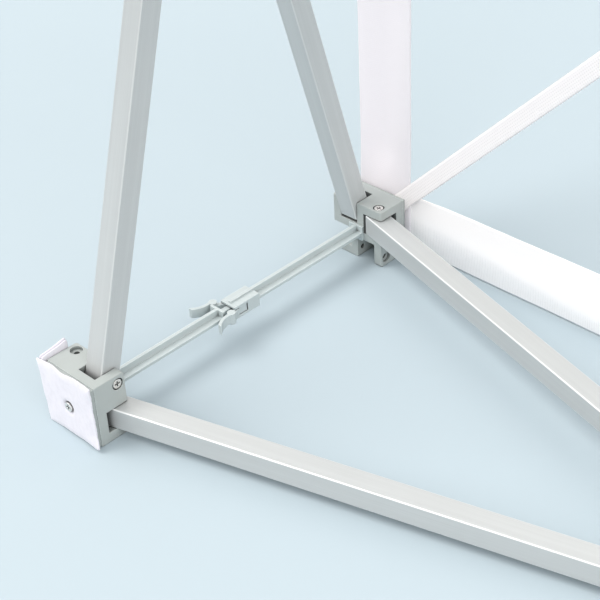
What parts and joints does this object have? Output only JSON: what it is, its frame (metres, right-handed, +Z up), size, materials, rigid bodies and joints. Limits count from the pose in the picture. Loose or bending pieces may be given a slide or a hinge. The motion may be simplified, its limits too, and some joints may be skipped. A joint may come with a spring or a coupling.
{
  "type": "promotion counter frame",
  "caption": "Pop-up promotion counter: folding scissor frame of square tubes and pinwheel hubs with tie-rod locks, rear loop bands and a lift-off worktop.",
  "frame": {"origin": "centre of the counter's footprint, on the floor", "axes": "+X along the counter to the right, +Y from front to rear, +Z up"},
  "size_m": [1.03, 0.39, 0.995],
  "materials": {
    "tube_aluminium": "satin anodised, brushed along the tube",
    "hub_plastic": "fine moulded satin, slightly greenish grey",
    "lock_plastic": "smooth moulded, slightly translucent",
    "screw_steel": "bright plated",
    "loop_fabric": "white brushed loop with fine ribs",
    "webbing_fabric": "white open-weave webbing",
    "worktop_laminate": "light grey laminate on board",
    "edging_plastic": "satin edging strip",
    "pad_fabric": "white loop"
  },
  "bodies": {
    "front_bottom_left": {"front_bottom_left_hub": "hub_plastic", "front_bottom_left_hub_screws": "screw_steel", "bottom_left_tongue_rod": "lock_plastic", "bottom_left_loop_tile": "loop_fabric"},
    "front_bottom_right": {"front_bottom_right_hub": "hub_plastic", "front_bottom_right_hub_screws": "screw_steel", "bottom_right_tongue_rod": "lock_plastic", "bottom_right_loop_tile": "loop_fabric"},
    "front_top_left": {"front_top_left_hub": "hub_plastic", "front_top_left_hub_screws": "screw_steel", "top_left_tongue_rod": "lock_plastic", "top_left_loop_tile": "loop_fabric"},
    "front_top_right": {"front_top_right_hub": "hub_plastic", "front_top_right_hub_screws": "screw_steel", "top_right_tongue_rod": "lock_plastic", "top_right_loop_tile": "loop_fabric"},
    "rear_bottom_left": {"rear_bottom_left_hub": "hub_plastic", "rear_bottom_left_hub_screws": "screw_steel", "bottom_left_socket_rod": "lock_plastic", "bottom_rear_band": "loop_fabric", "left_rear_band": "loop_fabric", "rising_rear_webbing": "webbing_fabric"},
    "rear_bottom_right": {"rear_bottom_right_hub": "hub_plastic", "rear_bottom_right_hub_screws": "screw_steel", "bottom_right_socket_rod": "lock_plastic", "right_rear_band": "loop_fabric"},
    "rear_top_left": {"rear_top_left_hub": "hub_plastic", "rear_top_left_hub_screws": "screw_steel", "top_left_socket_rod": "lock_plastic", "top_rear_band": "loop_fabric", "falling_rear_webbing": "webbing_fabric"},
    "rear_top_right": {"rear_top_right_hub": "hub_plastic", "rear_top_right_hub_screws": "screw_steel", "top_right_socket_rod": "lock_plastic"},
    "bottom_first_tube": {"bottom_front_left_tube": "tube_aluminium", "bottom_rivet": "screw_steel"},
    "bottom_second_tube": {"bottom_rear_left_tube": "tube_aluminium"},
    "left_first_tube": {"left_front_bottom_tube": "tube_aluminium", "left_rivet": "screw_steel"},
    "left_second_tube": {"left_rear_bottom_tube": "tube_aluminium"},
    "right_first_tube": {"right_front_bottom_tube": "tube_aluminium", "right_rivet": "screw_steel"},
    "right_second_tube": {"right_rear_bottom_tube": "tube_aluminium"},
    "top_first_tube": {"top_front_left_tube": "tube_aluminium", "top_rivet": "screw_steel"},
    "top_second_tube": {"top_rear_left_tube": "tube_aluminium"},
    "bottom_left_left_lever": {"bottom_left_lock_left_lever": "lock_plastic"},
    "bottom_left_right_lever": {"bottom_left_lock_right_lever": "lock_plastic"},
    "bottom_right_left_lever": {"bottom_right_lock_left_lever": "lock_plastic"},
    "bottom_right_right_lever": {"bottom_right_lock_right_lever": "lock_plastic"},
    "top_left_left_lever": {"top_left_lock_left_lever": "lock_plastic"},
    "top_left_right_lever": {"top_left_lock_right_lever": "lock_plastic"},
    "top_right_left_lever": {"top_right_lock_left_lever": "lock_plastic"},
    "top_right_right_lever": {"top_right_lock_right_lever": "lock_plastic"},
    "worktop": {"worktop_board": "worktop_laminate", "worktop_edging": "edging_plastic", "worktop_pads": "pad_fabric"}
  },
  "joints": [
    {"name": "frame_fold", "type": "hinge", "parent": "front_bottom_left", "child": "bottom_first_tube", "pos_m": [-0.446, -0.13, 0.024], "axis": [0, 0, 1], "range_deg": [0, 70], "deforming": ["bottom_rear_band", "left_rear_band", "right_rear_band", "top_rear_band", "rising_rear_webbing", "falling_rear_webbing"]},
    {"name": "bottom_cross_pivot", "type": "hinge", "parent": "bottom_first_tube", "child": "bottom_second_tube", "pos_m": [0, 0, 0.024], "axis": [0, 0, 1], "range_deg": [-140, 0]},
    {"name": "rear_bottom_right_hub_pivot", "type": "hinge", "parent": "bottom_first_tube", "child": "rear_bottom_right", "pos_m": [0.446, 0.13, 0.024], "axis": [0, 0, 1], "range_deg": [-70, 0]},
    {"name": "rear_bottom_left_hub_pivot", "type": "hinge", "parent": "bottom_second_tube", "child": "rear_bottom_left", "pos_m": [-0.446, 0.13, 0.024], "axis": [0, 0, 1], "range_deg": [0, 70]},
    {"name": "front_bottom_right_hub_pivot", "type": "hinge", "parent": "bottom_second_tube", "child": "front_bottom_right", "pos_m": [0.446, -0.13, 0.024], "axis": [0, 0, 1], "range_deg": [0, 70]},
    {"name": "left_tube_pivot", "type": "hinge", "parent": "front_bottom_left", "child": "left_first_tube", "pos_m": [-0.463, -0.13, 0.041], "axis": [-1, 0, 0], "range_deg": [0, 70]},
    {"name": "left_cross_pivot", "type": "hinge", "parent": "left_first_tube", "child": "left_second_tube", "pos_m": [-0.463, 0, 0.487], "axis": [-1, 0, 0], "range_deg": [-140, 0]},
    {"name": "rear_top_left_hub_pivot", "type": "hinge", "parent": "left_first_tube", "child": "rear_top_left", "pos_m": [-0.463, 0.13, 0.933], "axis": [-1, 0, 0], "range_deg": [-70, 0]},
    {"name": "front_top_left_hub_pivot", "type": "hinge", "parent": "left_second_tube", "child": "front_top_left", "pos_m": [-0.463, -0.13, 0.933], "axis": [-1, 0, 0], "range_deg": [0, 70]},
    {"name": "right_tube_pivot", "type": "hinge", "parent": "front_bottom_right", "child": "right_first_tube", "pos_m": [0.463, -0.13, 0.041], "axis": [-1, 0, 0], "range_deg": [0, 70]},
    {"name": "right_cross_pivot", "type": "hinge", "parent": "right_first_tube", "child": "right_second_tube", "pos_m": [0.463, 0, 0.487], "axis": [-1, 0, 0], "range_deg": [-140, 0]},
    {"name": "rear_top_right_hub_pivot", "type": "hinge", "parent": "right_first_tube", "child": "rear_top_right", "pos_m": [0.463, 0.13, 0.933], "axis": [-1, 0, 0], "range_deg": [-70, 0]},
    {"name": "front_top_right_hub_pivot", "type": "hinge", "parent": "right_second_tube", "child": "front_top_right", "pos_m": [0.463, -0.13, 0.933], "axis": [-1, 0, 0], "range_deg": [0, 70]},
    {"name": "top_tube_pivot", "type": "hinge", "parent": "front_top_left", "child": "top_first_tube", "pos_m": [-0.446, -0.13, 0.95], "axis": [0, 0, 1], "range_deg": [0, 70]},
    {"name": "top_cross_pivot", "type": "hinge", "parent": "top_first_tube", "child": "top_second_tube", "pos_m": [0, 0, 0.95], "axis": [0, 0, 1], "range_deg": [-140, 0]},
    {"name": "bottom_left_lock_left", "type": "hinge", "parent": "rear_bottom_left", "child": "bottom_left_left_lever", "pos_m": [-0.46865, -0.0086, 0.024], "axis": [0, 0, 1], "range_deg": [0, 10], "stiffness_Nm_per_rad": 0.02, "springref_deg": -5.73},
    {"name": "bottom_left_lock_right", "type": "hinge", "parent": "rear_bottom_left", "child": "bottom_left_right_lever", "pos_m": [-0.45735, -0.0086, 0.024], "axis": [0, 0, -1], "range_deg": [0, 10], "stiffness_Nm_per_rad": 0.02, "springref_deg": -5.73},
    {"name": "bottom_right_lock_left", "type": "hinge", "parent": "rear_bottom_right", "child": "bottom_right_left_lever", "pos_m": [0.45735, -0.0086, 0.024], "axis": [0, 0, 1], "range_deg": [0, 10], "stiffness_Nm_per_rad": 0.02, "springref_deg": -5.73},
    {"name": "bottom_right_lock_right", "type": "hinge", "parent": "rear_bottom_right", "child": "bottom_right_right_lever", "pos_m": [0.46865, -0.0086, 0.024], "axis": [0, 0, -1], "range_deg": [0, 10], "stiffness_Nm_per_rad": 0.02, "springref_deg": -5.73},
    {"name": "top_left_lock_left", "type": "hinge", "parent": "rear_top_left", "child": "top_left_left_lever", "pos_m": [-0.46865, -0.0086, 0.95], "axis": [0, 0, 1], "range_deg": [0, 10], "stiffness_Nm_per_rad": 0.02, "springref_deg": -5.73},
    {"name": "top_left_lock_right", "type": "hinge", "parent": "rear_top_left", "child": "top_left_right_lever", "pos_m": [-0.45735, -0.0086, 0.95], "axis": [0, 0, -1], "range_deg": [0, 10], "stiffness_Nm_per_rad": 0.02, "springref_deg": -5.73},
    {"name": "top_right_lock_left", "type": "hinge", "parent": "rear_top_right", "child": "top_right_left_lever", "pos_m": [0.45735, -0.0086, 0.95], "axis": [0, 0, 1], "range_deg": [0, 10], "stiffness_Nm_per_rad": 0.02, "springref_deg": -5.73},
    {"name": "top_right_lock_right", "type": "hinge", "parent": "rear_top_right", "child": "top_right_right_lever", "pos_m": [0.46865, -0.0086, 0.95], "axis": [0, 0, -1], "range_deg": [0, 10], "stiffness_Nm_per_rad": 0.02, "springref_deg": -5.73},
    {"name": "worktop_lift", "type": "slide", "parent": "front_bottom_left", "child": "worktop", "axis": [0, 0, 1], "range_m": [0, 0.1]}
  ],
  "couplings": [
    {"joint": "bottom_cross_pivot", "follows": "frame_fold", "ratio": -2},
    {"joint": "rear_bottom_right_hub_pivot", "follows": "frame_fold", "ratio": -1},
    {"joint": "rear_bottom_left_hub_pivot", "follows": "frame_fold", "ratio": 1},
    {"joint": "front_bottom_right_hub_pivot", "follows": "frame_fold", "ratio": 1},
    {"joint": "left_tube_pivot", "follows": "frame_fold", "ratio": 1},
    {"joint": "left_cross_pivot", "follows": "frame_fold", "ratio": -2},
    {"joint": "rear_top_left_hub_pivot", "follows": "frame_fold", "ratio": -1},
    {"joint": "front_top_left_hub_pivot", "follows": "frame_fold", "ratio": 1},
    {"joint": "right_tube_pivot", "follows": "frame_fold", "ratio": 1},
    {"joint": "right_cross_pivot", "follows": "frame_fold", "ratio": -2},
    {"joint": "rear_top_right_hub_pivot", "follows": "frame_fold", "ratio": -1},
    {"joint": "front_top_right_hub_pivot", "follows": "frame_fold", "ratio": 1},
    {"joint": "top_tube_pivot", "follows": "frame_fold", "ratio": 1},
    {"joint": "top_cross_pivot", "follows": "frame_fold", "ratio": -2},
    {"joint": "bottom_left_lock_right", "follows": "bottom_left_lock_left", "ratio": 1},
    {"joint": "bottom_right_lock_right", "follows": "bottom_right_lock_left", "ratio": 1},
    {"joint": "top_left_lock_right", "follows": "top_left_lock_left", "ratio": 1},
    {"joint": "top_right_lock_right", "follows": "top_right_lock_left", "ratio": 1}
  ]
}
